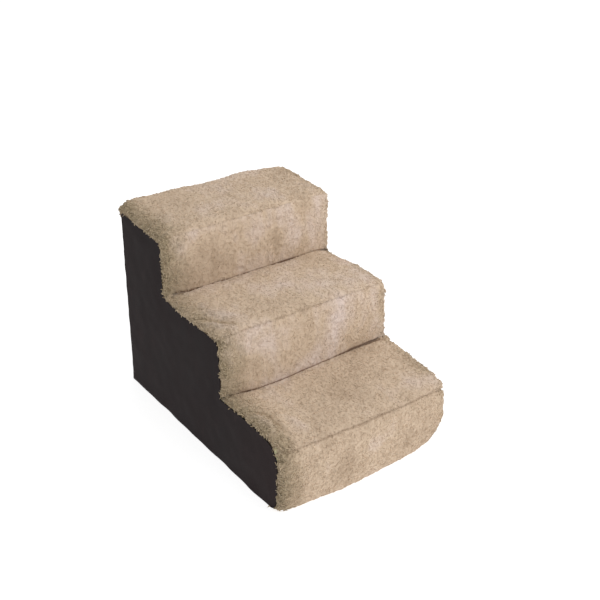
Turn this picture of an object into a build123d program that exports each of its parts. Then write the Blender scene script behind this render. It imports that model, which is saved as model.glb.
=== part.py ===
from build123d import *
from math import cos, hypot, radians, sin
import os

# Pet stairs: three foam slabs in a plush cover with suede sides and a zip low on the back.
# Millimetres, +Z up, the front faces -Y, x = 0 is the middle of the width, z = 0 the floor.

# Outline of the side, where the plush is sewn to the suede
stairs_width = 380
lower_tread_depth = 184
middle_tread_depth = 189
top_depth = 160
lower_nosing_height = 129
lower_crease_height = 140
middle_step_height = 264
top_height = 384
nosing_radius = 13
toe_radius = 24
top_back_radius = 6

# Fabrics and their clearances
suede_thickness = 1.5
base_thickness = 1.2
foam_clearance = 0.3
cut_overrun_length = 40

# Foam under the plush, which swells past the side seams and is rounded along them
foam_swell_height = 6
foam_edge_radius = 9
foam_edge_sink_depth = 1

# Plush: how far it stands out of the outline at the middle of the width
tread_puff_height = 18.5
riser_puff_depth = 15.5
lower_tread_front_puff_height = 12
lower_riser_top_puff_depth = 24
lower_riser_bottom_puff_depth = 20
panel_bow_height = 1.5
nosing_seam_depth = 9.5
nosing_seam_height = 8.5
lower_nosing_seam_depth = 18
lower_nosing_seam_height = 2
crease_seam_depth = 11
crease_seam_height = 11
nosing_roll_length = 12
tread_crease_roll_length = 31
riser_crease_roll_length = 28
toe_roll_radius = 27
toe_wrap_length = 6
back_roll_length = 12
back_wrap_height = 12
back_stand_depth = 2
seam_inner_depth = 20
edge_roll_width = 30
edge_share = 0.3
roll_share = 0.78
roll_turns = (0, 20, 40, 62, 90)
crown_shares = (0.75, 0.5, 0.25, 0)

# Grip dots under the base
dot_height = 1
dot_radius = 3
dot_pitch = 54
dot_margin_width = 28

# Zip across the back
zip_height = 48
zip_margin_width = 34
tape_width = 12
tape_thickness = 0.6
tape_overlap_length = 8
tooth_row_width = 3
tooth_row_gap = 1.4
tooth_pitch = 3
tooth_depth = 1.6
tooth_share = 0.55
tooth_thickness = 2.2
stop_length = 3
stop_thickness = 3.4
stop_clearance = 0.3
slot_end_clearance = 3
foam_dent_clearance = 0.6

# Slider and pull
slider_length = 13
slider_plate_thickness = 1
slider_corner_radius = 2
slider_clearance = 0.3
flange_width = 0.9
neck_width = 0.8
neck_length = 3
bridge_length = 8
bridge_width = 2
bridge_thickness = 1
bridge_post_length = 1.2
pin_diameter = 1.2
pin_clearance = 0.3
pull_thickness = 1.2
pull_width = 8
pull_length = 30
pull_arm_width = 1.4
pull_window_length = 7
pull_corner_radius = 2.5
pull_hole_radius = 1.6

half_width = stairs_width / 2
stairs_depth = lower_tread_depth + middle_tread_depth + top_depth
base_z = dot_height
floor_z = base_z + base_thickness

# How far the zip's levels stand from the middle of the tapes, and how far its rows reach
plate_inner_level = tooth_thickness / 2 + slider_clearance
plate_outer_level = plate_inner_level + slider_plate_thickness
pin_level = plate_outer_level + pin_clearance + pin_diameter / 2
bridge_level = pin_level + pin_diameter / 2 + pin_clearance + bridge_thickness
row_reach_height = tooth_row_gap / 2 + tooth_row_width
slider_half_width = row_reach_height + slider_clearance + flange_width
slot_half_height = slider_half_width + slider_clearance * 2
teeth_half_length = half_width - zip_margin_width
slot_half_length = teeth_half_length + stop_length + slot_end_clearance
tape_half_length = slot_half_length + tape_overlap_length

# The whole is centred on the origin, from the fullest plush to the bridge of the slider
front_y = (lower_riser_top_puff_depth - bridge_level - stairs_depth) / 2
middle_y = front_y + lower_tread_depth
upper_y = middle_y + middle_tread_depth
back_y = front_y + stairs_depth

lower_nosing = (front_y, lower_nosing_height)
lower_crease = (middle_y, lower_crease_height)
middle_nosing = (middle_y, middle_step_height)
upper_crease = (upper_y, middle_step_height)
upper_nosing = (upper_y, top_height)


def moved(point, forward, up):
    return (point[0] - forward, point[1] + up)


def along(start, end, distance, up=0):
    """The point at a distance from start towards end, lifted square to that way."""
    span = hypot(end[0] - start[0], end[1] - start[1])
    way = ((end[0] - start[0]) / span, (end[1] - start[1]) / span)
    return (start[0] + way[0] * distance - way[1] * up, start[1] + way[1] * distance + way[0] * up)


def step_outline(swell, back_swell=0):
    """The side of the stairs as a face, grown forwards and upwards by swell."""
    nosing = nosing_radius + swell
    points = [
        ((back_y + back_swell, floor_z), 0),
        ((back_y + back_swell, top_height + swell), top_back_radius),
        (moved(upper_nosing, swell, swell), nosing),
        (moved(upper_crease, swell, swell), 0),
        (moved(middle_nosing, swell, swell), nosing),
        (moved(lower_crease, swell, swell), 0),
        (moved(lower_nosing, swell, swell), nosing),
        ((front_y - swell, floor_z), toe_radius + swell),
    ]
    outline = Polyline(*[point for point, radius in points], close=True)
    side = make_face(outline)
    for point, radius in points:
        if radius:
            corner = side.vertices().sort_by_distance(Vector(*point))[0]
            side = fillet(corner, radius)
    return side


def foam_sections(clearance):
    """Half widths and swells where the foam rounds in to its sides; clearance grows both."""
    half = half_width - suede_thickness - foam_clearance + clearance
    sections = []
    for turn in roll_turns:
        inwards = foam_edge_radius * (1 - cos(radians(turn)))
        swell = (foam_swell_height + foam_edge_sink_depth) * sin(radians(turn)) - foam_edge_sink_depth
        sections.append((half - inwards, swell + clearance))
    return sections


def across(sections, back_swell):
    """A solid through outlines at both sides, from the outermost section to the innermost."""
    stations = [(-x, swell) for x, swell in sections] + sections[::-1]
    outlines = [Plane.YZ.offset(x) * step_outline(swell, back_swell) for x, swell in stations]
    return loft(outlines, ruled=True)


def plush_stations():
    """Places across the width, each with how full the plush is there, from 0 to 1."""
    right = []
    for turn in roll_turns:
        inwards = edge_roll_width * (1 - cos(radians(turn)))
        right.append((half_width - inwards, roll_share * sin(radians(turn))))
    for share in crown_shares:
        right.append((share * (half_width - edge_roll_width), 1 - (1 - roll_share) * share ** 2))
    left = [(-x, full) for x, full in right[:-1]]
    return left + right[::-1]


def seam_line(corner, forward, up, inwards):
    """A seam: its corner of the outline, how far it stands out there, and its end inside."""
    return {"corner": corner, "forward": forward, "up": up, "inner": moved(corner, *inwards)}


def corner_seam(corner, forward, up):
    inwards = -seam_inner_depth / hypot(forward, up)
    return seam_line(corner, forward, up, (forward * inwards, up * inwards))


def plush_panel(start, end, first_seam, first_roll, last_seam, last_roll, tucked=False):
    """A padded panel lofted across the width, from one seam up or back to the next.

    The panel lies along the outline from start to end. A roll is the length and the fullness
    of the rounded end beside a seam. A tucked panel rolls under and runs flat to its first seam.
    """
    faces = []
    for x, full in plush_stations():
        share = edge_share + (1 - edge_share) * full
        first = moved(first_seam["corner"], first_seam["forward"] * share, first_seam["up"] * share)
        last = moved(last_seam["corner"], last_seam["forward"] * share, last_seam["up"] * share)
        shoulder = along(start, end, first_roll[0], first_roll[1] * share)
        far_shoulder = along(end, start, last_roll[0], -last_roll[1] * share)
        way = Vector(far_shoulder[0] - shoulder[0], far_shoulder[1] - shoulder[1])
        bow = along(shoulder, far_shoulder, way.length / 2, panel_bow_height * share)
        edges = [Line(first_seam["inner"], first)]
        roll_end = first
        if tucked:
            roll_end = (shoulder[0] + shoulder[1] - first[1], first[1])
            edges.append(Line(first, roll_end))
        edges += [
            TangentArc(shoulder, roll_end, tangent=-way),
            ThreePointArc(shoulder, bow, far_shoulder),
            TangentArc(far_shoulder, last, tangent=way),
            Line(last, last_seam["inner"]),
            Line(last_seam["inner"], first_seam["inner"]),
        ]
        faces.append(Plane.YZ.offset(x) * make_face(edges))
    return loft(faces, ruled=True)


def between(low, high):
    """A box from its lowest corner to its highest."""
    size = [high[axis] - low[axis] for axis in range(len(low))]
    return Pos(*low) * Box(*size, align=Align.MIN)


def save(name, shape):
    export_step(shape, "parts/" + name + ".step")


os.makedirs("parts", exist_ok=True)

# Foam slabs, stacked loose so that they come out through the zip one by one
core = across(foam_sections(0), -foam_clearance)
tape_y = back_y - tape_thickness / 2
dent_half_length = tape_half_length + foam_dent_clearance
dent_half_height = row_reach_height + tape_width + foam_dent_clearance
dent = between(
    (-dent_half_length, back_y - tape_thickness - foam_dent_clearance, zip_height - dent_half_height),
    (dent_half_length, back_y, zip_height + dent_half_height),
)
dent += between(
    (-slot_half_length, tape_y - plate_outer_level - foam_dent_clearance, zip_height - slot_half_height),
    (slot_half_length, back_y, zip_height + slot_half_height),
)
lower_cut = lower_crease_height + foam_swell_height
middle_cut = middle_step_height + foam_swell_height


def foam_layer(bottom, top):
    reach = half_width + cut_overrun_length
    return core & between((-reach, front_y - cut_overrun_length, bottom), (reach, back_y, top))


save("foam_lower_slab", foam_layer(floor_z, lower_cut) - dent)
save("foam_middle_slab", foam_layer(lower_cut, middle_cut))
save("foam_upper_slab", foam_layer(middle_cut, top_height + cut_overrun_length))

# Plush panels, each from one seam to the next, hollowed by what is inside the cover
space_sections = [(x, max(swell, 0)) for x, swell in foam_sections(foam_clearance)]
inner_space = across([(half_width + cut_overrun_length, 0)] + space_sections, 0)
toe_corner = (front_y, base_z)
base_front = front_y + toe_radius + toe_wrap_length
top_back = (back_y, top_height)
toe_seam = seam_line((base_front, base_z), 0, 0, (0, seam_inner_depth))
lower_nosing_seam = corner_seam(lower_nosing, lower_nosing_seam_depth, lower_nosing_seam_height)
lower_crease_seam = corner_seam(lower_crease, crease_seam_depth, crease_seam_height)
middle_nosing_seam = corner_seam(middle_nosing, nosing_seam_depth, nosing_seam_height)
upper_crease_seam = corner_seam(upper_crease, crease_seam_depth, crease_seam_height)
upper_nosing_seam = corner_seam(upper_nosing, nosing_seam_depth, nosing_seam_height)
back_corner = (back_y + suede_thickness + back_stand_depth, top_height - back_wrap_height)
back_seam = seam_line(back_corner, 0, 0, (suede_thickness + back_stand_depth + seam_inner_depth, 0))

toe_end = (toe_roll_radius, lower_riser_bottom_puff_depth)
lower_riser_end = (nosing_roll_length, lower_riser_top_puff_depth)
lower_tread_end = (nosing_roll_length, lower_tread_front_puff_height)
tread_front_end = (nosing_roll_length, tread_puff_height)
tread_back_end = (tread_crease_roll_length, tread_puff_height)
riser_bottom_end = (riser_crease_roll_length, riser_puff_depth)
riser_top_end = (nosing_roll_length, riser_puff_depth)
back_end = (back_roll_length, tread_puff_height)

plush = {
    "lower_riser_panel": plush_panel(
        toe_corner, lower_nosing, toe_seam, toe_end, lower_nosing_seam, lower_riser_end, tucked=True
    ),
    "lower_tread_panel": plush_panel(
        lower_nosing, lower_crease, lower_nosing_seam, lower_tread_end, lower_crease_seam, tread_back_end
    ),
    "middle_riser_panel": plush_panel(
        lower_crease, middle_nosing, lower_crease_seam, riser_bottom_end, middle_nosing_seam, riser_top_end
    ),
    "middle_tread_panel": plush_panel(
        middle_nosing, upper_crease, middle_nosing_seam, tread_front_end, upper_crease_seam, tread_back_end
    ),
    "upper_riser_panel": plush_panel(
        upper_crease, upper_nosing, upper_crease_seam, riser_bottom_end, upper_nosing_seam, riser_top_end
    ),
    "upper_tread_panel": plush_panel(
        upper_nosing, top_back, upper_nosing_seam, tread_front_end, back_seam, back_end
    ),
}
for name, panel in plush.items():
    save(name, panel - inner_space)

# Suede sides, back and hem, and the base under them
side_plane = Plane.YZ.offset(half_width - suede_thickness)
right_side = extrude(side_plane * step_outline(0), suede_thickness)
save("right_side_panel", right_side)
save("left_side_panel", mirror(right_side, about=Plane.YZ))

slot = between(
    (-slot_half_length, back_y - cut_overrun_length, zip_height - slot_half_height),
    (slot_half_length, back_y + cut_overrun_length, zip_height + slot_half_height),
)
slot = fillet(slot.edges().filter_by(Axis.Y), slot_half_height / 2)
suede_back = back_y + suede_thickness
back_top = top_height - back_wrap_height
save("back_panel", between((-half_width, back_y, zip_height), (half_width, suede_back, back_top)) - slot)
save("back_hem_panel", between((-half_width, back_y, base_z), (half_width, suede_back, zip_height)) - slot)
save("base_panel", between((-half_width, base_front, base_z), (half_width, back_y, floor_z)))

# Rubber dots that grip the floor
dot_reach = stairs_width - 2 * dot_margin_width
dot_run = back_y - base_front - 2 * dot_margin_width
dot_columns = int(dot_reach / dot_pitch) + 1
dot_rows = int(dot_run / dot_pitch) + 1
dots = [
    Pos(column * dot_pitch, row * dot_pitch, 0) * Cylinder(dot_radius, dot_height, align=(
        Align.CENTER, Align.CENTER, Align.MIN))
    for column in range(dot_columns) for row in range(dot_rows)
]
first_x = -(dot_columns - 1) * dot_pitch / 2
first_y = (base_front + back_y - (dot_rows - 1) * dot_pitch) / 2
save("grip_dots", Compound([Pos(first_x, first_y, 0) * dot for dot in dots]))


def mirrored_zip(shape):
    """The lower half of the zip from its upper half."""
    return mirror(shape, about=Plane.XY.offset(zip_height))


# Zip tapes, their rows of teeth half a pitch apart, and the stops at both ends
tape = between(
    (-tape_half_length, back_y - tape_thickness, zip_height + row_reach_height),
    (tape_half_length, back_y, zip_height + row_reach_height + tape_width),
)
save("zipper_upper_tape", tape)
save("zipper_lower_tape", mirrored_zip(tape))


def tooth_row(shift):
    """A row of moulded teeth on its spine, as long as the zip."""
    spine = row_reach_height - tooth_row_width + tooth_depth
    tip = tooth_row_gap / 2
    points = [(-teeth_half_length, row_reach_height), (-teeth_half_length, spine)]
    count = int((2 * teeth_half_length - shift) / tooth_pitch)
    for tooth in range(count):
        start = -teeth_half_length + shift + tooth * tooth_pitch + tooth_pitch * (1 - tooth_share) / 2
        stop = start + tooth_pitch * tooth_share
        points += [(start, spine), (start, tip), (stop, tip), (stop, spine)]
    points += [(teeth_half_length, spine), (teeth_half_length, row_reach_height)]
    face = make_face(Polyline(*points, close=True))
    return extrude(Plane.XZ.offset(-tape_y) * (Pos(0, zip_height) * face), tooth_thickness / 2, both=True)


save("zipper_upper_teeth", tooth_row(0))
save("zipper_lower_teeth", mirrored_zip(tooth_row(tooth_pitch / 2)))
stop_y = stop_thickness / 2
stop_block = between(
    (teeth_half_length, tape_y - stop_y, zip_height + tooth_row_gap / 2),
    (teeth_half_length + stop_length, tape_y + stop_y, zip_height + row_reach_height),
)
save("zipper_top_stops", Compound([stop_block, mirrored_zip(stop_block)]))
bottom_stop = between(
    (-teeth_half_length - stop_length, tape_y - stop_y, zip_height - row_reach_height),
    (-teeth_half_length, tape_y + stop_y, zip_height + row_reach_height),
)
save("zipper_bottom_stop", bottom_stop)

# Slider at the closed end: two plates joined by a neck between the rows, and a bridge for the pull
slider_x = teeth_half_length - stop_clearance - slider_length / 2


def zip_box(x_span, y_span, z_span):
    """A box about the slider's middle, from spans along, out of and across the zip."""
    return Pos(slider_x, tape_y, zip_height) * between(
        (x_span[0], y_span[0], z_span[0]), (x_span[1], y_span[1], z_span[1])
    )


slider_end = slider_length / 2
plate_span = (-slider_end, slider_end)
flange_level = tape_thickness / 2 + slider_clearance
lip_end = slider_end - slider_corner_radius
plates = []
for side in (-1, 1):
    levels = sorted((side * plate_inner_level, side * plate_outer_level))
    plate = zip_box(plate_span, levels, (-slider_half_width, slider_half_width))
    plates.append(fillet(plate.edges().filter_by(Axis.Y), slider_corner_radius))
    lips = sorted((side * flange_level, side * plate_inner_level))
    for edge in (-1, 1):
        rim = sorted((edge * (slider_half_width - flange_width), edge * slider_half_width))
        plates.append(zip_box((-lip_end, lip_end), lips, rim))
neck_span = (lip_end - neck_length, lip_end)
neck_levels = (-plate_inner_level, plate_inner_level)
plates.append(zip_box(neck_span, neck_levels, (-neck_width / 2, neck_width / 2)))
bridge_end = bridge_length / 2
bridge_span = (-bridge_width / 2, bridge_width / 2)
bridge = zip_box((-bridge_end, bridge_end), (plate_outer_level, bridge_level), bridge_span)
bridge -= zip_box(
    (bridge_post_length - bridge_end, bridge_end - bridge_post_length),
    (plate_outer_level, bridge_level - bridge_thickness),
    bridge_span,
)
slider = bridge
for piece in plates:
    slider += piece
save("zipper_slider", slider)

# Pull: a pin under the bridge, two arms round it and a tab with a hole, lying along the zip
pull_end = pull_corner_radius - pull_length
pull = between(
    (pull_end, -pull_thickness / 2, -pull_width / 2),
    (pull_corner_radius, pull_thickness / 2, pull_width / 2),
)
pull = fillet(pull.edges().filter_by(Axis.Y), pull_corner_radius)
pin_radius = pin_diameter / 2
window_half = pull_width / 2 - pull_arm_width
pull -= between(
    (-pull_window_length, -pull_thickness, -window_half), (pull_width, pull_thickness, window_half)
)
pull -= between((pin_radius, -pull_thickness, -pull_width), (pull_width, pull_thickness, pull_width))
pull += Cylinder(pin_radius, 2 * window_half)
hole_x = pull_end + pull_corner_radius + pull_hole_radius
pull -= Pos(hole_x, 0, 0) * Rot(90, 0, 0) * Cylinder(pull_hole_radius, 2 * pull_thickness)
save("zipper_pull", Pos(slider_x, tape_y + pin_level, zip_height) * pull)
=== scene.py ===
import math

import bmesh
import bpy
import numpy as np
from mathutils import Matrix, Vector, noise


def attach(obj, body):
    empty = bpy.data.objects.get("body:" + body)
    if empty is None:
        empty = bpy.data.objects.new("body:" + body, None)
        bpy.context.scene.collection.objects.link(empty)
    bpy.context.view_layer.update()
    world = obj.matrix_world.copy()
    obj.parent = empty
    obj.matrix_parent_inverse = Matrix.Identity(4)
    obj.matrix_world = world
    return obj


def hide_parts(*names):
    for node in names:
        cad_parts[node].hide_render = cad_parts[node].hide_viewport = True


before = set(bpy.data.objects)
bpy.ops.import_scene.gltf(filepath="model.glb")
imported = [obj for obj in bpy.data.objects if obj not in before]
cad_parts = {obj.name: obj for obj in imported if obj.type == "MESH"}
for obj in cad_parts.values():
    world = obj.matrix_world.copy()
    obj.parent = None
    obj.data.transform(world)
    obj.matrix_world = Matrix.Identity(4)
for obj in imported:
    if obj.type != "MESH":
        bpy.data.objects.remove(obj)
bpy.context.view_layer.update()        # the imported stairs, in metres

mm = 0.001

# The side outline that every cover piece is sewn to, in millimetres as (y, z)
stairs = {
    "halfWidth": 190, "front": -257.1, "middle": -73.1, "upper": 115.9, "back": 275.9,
    "base": 1.0, "lowerNosing": 129, "lowerCrease": 140, "middleStep": 264, "top": 384,
}
corners = {
    "toe": (stairs["front"], stairs["base"]),
    "lowerNosing": (stairs["front"], stairs["lowerNosing"]),
    "lowerCrease": (stairs["middle"], stairs["lowerCrease"]),
    "middleNosing": (stairs["middle"], stairs["middleStep"]),
    "upperCrease": (stairs["upper"], stairs["middleStep"]),
    "upperNosing": (stairs["upper"], stairs["top"]),
    "topBack": (stairs["back"], stairs["top"]),
}
cornerRounds = {       # radius of the outline at the left edge, along the middle and at the right edge
    "lowerNosing": (20, 8, 34), "lowerCrease": (8, 0, 18), "middleNosing": (17, 8, 17),
    "upperCrease": (8, 0, 4), "upperNosing": (15, 8, 16),
}
roundSpread = {"fromNosing": 100, "fromCrease": 162, "to": 188}       # where it turns to the edge's radius


def smooth(value, low, high):
    share = np.clip((np.asarray(value, float) - low) / (high - low), 0, 1)
    return share * share * (3 - 2 * share)


# The camera stands where the photograph was taken from
cameraValues = {
    "place": (-1.07204, -1.58635, 1.31313), "lens": 68.77, "sensor": 36,
    "right": (0.818805, -0.574070, 0.001243),
    "up": (0.277098, 0.397123, 0.874933), "clip": (0.05, 30),
}


def makeCamera(v):
    camera = bpy.data.objects.new("stairsCamera", bpy.data.cameras.new("stairsCamera"))
    bpy.context.scene.collection.objects.link(camera)
    right, up = Vector(v["right"]).normalized(), Vector(v["up"])
    up = (up - right * up.dot(right)).normalized()
    back = right.cross(up)
    turn = Matrix((right, up, back)).transposed().to_4x4()
    camera.matrix_world = Matrix.Translation(v["place"]) @ turn
    camera.data.lens, camera.data.sensor_width = v["lens"], v["sensor"]
    camera.data.clip_start, camera.data.clip_end = v["clip"]
    bpy.context.scene.camera = camera


makeCamera(cameraValues)
print("camera: placed")


# Each finish starts from the shader and the place on the piece
class Finish:
    def __init__(self, name, roughness, sheen=0, sheenTint=(1, 1, 1), metallic=0, specular=0.5):
        self.material = bpy.data.materials.new(name)
        self.material.use_nodes = True
        self.nodes, self.links = self.material.node_tree.nodes, self.material.node_tree.links
        self.shader = self.nodes["Principled BSDF"]
        self.shader.inputs["Roughness"].default_value = roughness
        self.shader.inputs["Metallic"].default_value = metallic
        self.shader.inputs["Specular IOR Level"].default_value = specular
        self.shader.inputs["Sheen Weight"].default_value = sheen
        self.shader.inputs["Sheen Roughness"].default_value = 0.5
        self.shader.inputs["Sheen Tint"].default_value = (*sheenTint, 1)
        self.place = self.nodes.new("ShaderNodeTexCoord").outputs["Object"]

    def plug(self, value, socket):
        if isinstance(value, bpy.types.NodeSocket):
            self.links.new(value, socket)
        elif hasattr(value, "__len__") and len(value) == 3 and len(socket.default_value) == 4:
            socket.default_value = (*value, 1)
        else:
            socket.default_value = value

    def attribute(self, name):
        node = self.nodes.new("ShaderNodeAttribute")
        node.attribute_name = name
        return node.outputs["Fac"]

    def along(self, axis):
        node = self.nodes.new("ShaderNodeSeparateXYZ")
        self.links.new(self.place, node.inputs["Vector"])
        return node.outputs[axis]

    def noise(self, scale, detail=2, roughness=0.5, distortion=0, stretch=None):
        node = self.nodes.new("ShaderNodeTexNoise")
        place = self.place
        if stretch:
            mapping = self.nodes.new("ShaderNodeMapping")
            mapping.inputs["Scale"].default_value = stretch
            self.links.new(place, mapping.inputs["Vector"])
            place = mapping.outputs["Vector"]
        self.links.new(place, node.inputs["Vector"])
        for name, value in (("Scale", scale), ("Detail", detail), ("Roughness", roughness),
                            ("Distortion", distortion)):
            node.inputs[name].default_value = value
        return node.outputs["Fac"]

    def cells(self, scale, feature="F1"):
        node = self.nodes.new("ShaderNodeTexVoronoi")
        node.feature = feature
        node.inputs["Scale"].default_value = scale
        self.links.new(self.place, node.inputs["Vector"])
        return node.outputs["Distance"]

    def waves(self, scale, direction="X", distortion=0):
        node = self.nodes.new("ShaderNodeTexWave")
        node.bands_direction = direction
        node.inputs["Scale"].default_value = scale
        node.inputs["Distortion"].default_value = distortion
        self.links.new(self.place, node.inputs["Vector"])
        return node.outputs["Fac"]

    def spread(self, value, low, high, toLow=0, toHigh=1):
        node = self.nodes.new("ShaderNodeMapRange")
        for name, limit in (("From Min", low), ("From Max", high), ("To Min", toLow), ("To Max", toHigh)):
            node.inputs[name].default_value = limit
        self.links.new(value, node.inputs["Value"])
        return node.outputs["Result"]

    def sums(self, operation, first, second):
        node = self.nodes.new("ShaderNodeMath")
        node.operation = operation
        self.plug(first, node.inputs[0])
        self.plug(second, node.inputs[1])
        return node.outputs[0]

    def mix(self, share, first, second, blend="MIX"):
        node = self.nodes.new("ShaderNodeMix")
        node.data_type, node.blend_type = "RGBA", blend
        self.plug(share, node.inputs["Factor"])
        self.plug(first, node.inputs["A"])
        self.plug(second, node.inputs["B"])
        return node.outputs["Result"]

    def colour(self, value):
        self.plug(value, self.shader.inputs["Base Color"])

    def rough(self, value):
        self.links.new(value, self.shader.inputs["Roughness"])

    def bump(self, height, distance, strength=1, under=None):
        node = self.nodes.new("ShaderNodeBump")
        node.inputs["Strength"].default_value = strength
        node.inputs["Distance"].default_value = distance
        self.links.new(height, node.inputs["Height"])
        if under:
            self.links.new(under, node.inputs["Normal"])
        return node.outputs["Normal"]

    def normal(self, value):
        self.links.new(value, self.shader.inputs["Normal"])


# valley and tip: the pile's tone, with painted shade between its curls and painted light on their tips;
# sideValley and sideTip: the strip along the side seams, darker there as painted shade
plushColours = {
    "valley": (0.592, 0.458, 0.335), "tip": (0.605, 0.475, 0.352),
    "brushedAndHighlight": (0.700, 0.587, 0.533), "brushedAndShade": (0.450, 0.335, 0.235),
    "sideValley": (0.288, 0.219, 0.138), "sideTip": (0.438, 0.352, 0.235),
    "seamShade": (0.165, 0.088, 0.048), "speckle": 0.05,
}


def makePlush(v):
    f = Finish("shortPlush", 0.95, sheen=0.25, sheenTint=(0.95, 0.88, 0.78), specular=0.15)
    pile, nap, edge, seam = (f.attribute(name) for name in ("pile", "nap", "edge", "seam"))
    # painted shade in the pile's valleys and painted light on its tips, by how proud each curl stands
    tone = f.mix(f.spread(pile, 0, 0.9), v["valley"], v["tip"])
    # the nap mark's own random and brushed tone, with the folds' painted shade and highlight and the risers'
    # painted highlight near their tops
    tone = f.mix(f.spread(nap, 0.5, 1.0, 0, 0.85), tone, v["brushedAndHighlight"])
    tone = f.mix(f.spread(nap, 0.5, 0.0, 0, 0.85), tone, v["brushedAndShade"])
    # the strip along the side seams: its curls are coarser, and its darker tone is painted shade where the
    # plush turns away from the light over the edge
    strip = f.mix(f.spread(pile, 0, 0.9), v["sideValley"], v["sideTip"])
    tone = f.mix(edge, tone, strip)
    tone = f.mix(seam, tone, v["seamShade"])
    fibres = f.noise(900, 2, 0.7)
    grey = f.spread(fibres, 0.3, 0.7, 1 - v["speckle"], 1 + v["speckle"])
    tone = f.mix(1.0, tone, grey, "MULTIPLY")
    f.colour(tone)
    curls = f.bump(f.noise(420, 2, 0.6, 0.6), 0.0012, 0.5)
    f.normal(f.bump(fibres, 0.0005, 0.5, curls))
    return f.material


plush = makePlush(plushColours)
print("materials: plush made")

# The plush panels: each is a padded form between two seams
plushValues = {
    "spacing": 1.6, "innerRows": 7, "tuckDepth": 6, "rollShare": 0.78, "crown": 6,
    "curlSize": 4.2, "curlHeight": 2.6, "strandSize": 2.4, "strandHeight": 0.9,
    "fluffSize": 8, "fluffHeight": 1.2, "lumpSize": 52, "lumpHeight": 1.8,
    "floorGap": 0.2, "seamWander": 1.3, "wanderSize": 24, "seamLap": 0.7, "leastTuckShare": 0.1,
    "rimWander": 2.2, "rimSize": 8, "rimWidth": (16, 2), "crownSag": 0.6, "crownSagForward": 0.7,
    "stripWidth": 54, "stripRagged": ((16, 26), (8, 9)), "farStripWidth": 26, "farStripShare": 0.4,
    "nosingTurn": 46, "creaseTurn": 68, "shadeFade": 20, "crownLine": (-1.0, 3.8), "rimShade": 0.7,
    "footTuck": 2.0, "footDepth": 30, "backWrap": (3.5, 12), "footFree": (4, 40), "backFree": (-2, 90),
    "overhangGap": 0.3, "sideRows": 2, "seamRows": 3, "foldRows": (2, 12),
    "footRollGain": (2, 8), "footRollSpread": (60, 180), "bowSpread": (120, 185),
}
pileValues = {       # the curled pile's pattern, the rest being in plushValues
    "warpSize": 7, "warp": 1.6, "curlGain": 1.15, "curlLevel": 0.45, "boldest": 0.9, "calmest": 0.1,
    "calmLevel": 0.5, "calmGain": 0.75, "seed": 7,
}
napValues = {       # sizes and strengths of the lumps and of the tones that the nap lies in, with the folds' painted shade and highlight and the risers' painted highlight near their tops
    "smallLumpSize": 21, "smallLumpShare": 0.4, "wideSize": 60, "wide": 0.28, "narrowSize": 22,
    "narrow": 0.14, "streakWidth": 15, "streakLength": 60, "plain": 0.1, "foldShadeAndHighlight": 0.07,
    "topHighlightShare": 0.5, "topHighlightSpread": (0.45, 0.85),
    "furryWeight": 0.4, "furryShade": 0.35, "furryFrom": 2,
}
edgeValues = {       # the turned-in lip and the roll at each side of a panel
    "lipInset": 0.6, "lipPull": 1.5, "lipShare": -0.04, "rollDegrees": (-20, 90), "shareWeight": 18,
}
innerValues = {       # the panel's inner line, next to the foam
    "foamGap": 0.4, "thinnest": 1.2, "fromSeam": 14, "toeRound": 8.5, "toeRunShare": 0.4,
    "toeDropShare": 0.27, "toeGap": 3, "fromNamed": {"toe": 27, "lowerCrease": 6.4, "upperCrease": 6.4},
}
foamSwellValues = {"height": 6, "from": 179, "width": 9, "drop": 7}
settleValues = {       # how the foot, its far corner and the middle tread's far edge have sunk
    "sinkFrom": 110, "sinkWidth": 80, "height": 74, "depth": (80, 20), "sinkIn": 30, "sinkBack": 10,
    "sinkUp": 5, "upFrom": 14, "recede": 7, "recedeSpread": (-90, 90),
    "dip": 7, "dipLevel": (10, 60), "dipAcross": (140, 188), "dipAlong": (0, 75), "dipBelow": 2,
}
creaseSags = {     # (x, further forwards, lower) along the two creases
    "lowerCrease": [(-190, 0, 0), (-165, 7, 5), (-125, 17, 9), (-70, 18, 8), (-20, 14, 6), (50, 10, 4),
                    (110, 6, 1), (190, 0, 0)],
    "upperCrease": [(-190, 1, 2), (-150, 9, 6), (-60, 12, 7), (40, 11, 6), (120, 9, 6), (190, 2, 2)],
}
seams = {       # how far each seam stands out of the outline, forwards and up
    "toe": (0, 0), "lowerNosing": (18, 3), "lowerCrease": (11, 11), "middleNosing": (9.5, 9.5),
    "upperCrease": (11, 11), "upperNosing": (9.5, 9.5), "topBack": (0, 0),
}
fulls = {       # how far the plush stands out beside each seam, forwards and up
    "toe": (22, 0), "lowerNosing": (24, 12), "lowerCrease": (17, 18.5), "middleNosing": (15.5, 18.5),
    "upperCrease": (16, 18.5), "upperNosing": (15.5, 18.5), "topBack": (0, 18.5),
}
seamShades = {       # how dark each seam's line is, its half width, where its fade ends, and from x to x
    "lowerNosing": (0.34, 0.4, 3.8, -190, 190), "lowerCrease": (0.98, 3.6, 9.0, -180, 180),
    "middleNosing": (0.20, 0.4, 3.8, -190, 176), "upperCrease": (0.98, 3.6, 9.0, -184, 184),
    "upperNosing": (0.08, 0.4, 3.8, -190, 160),
}
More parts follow.
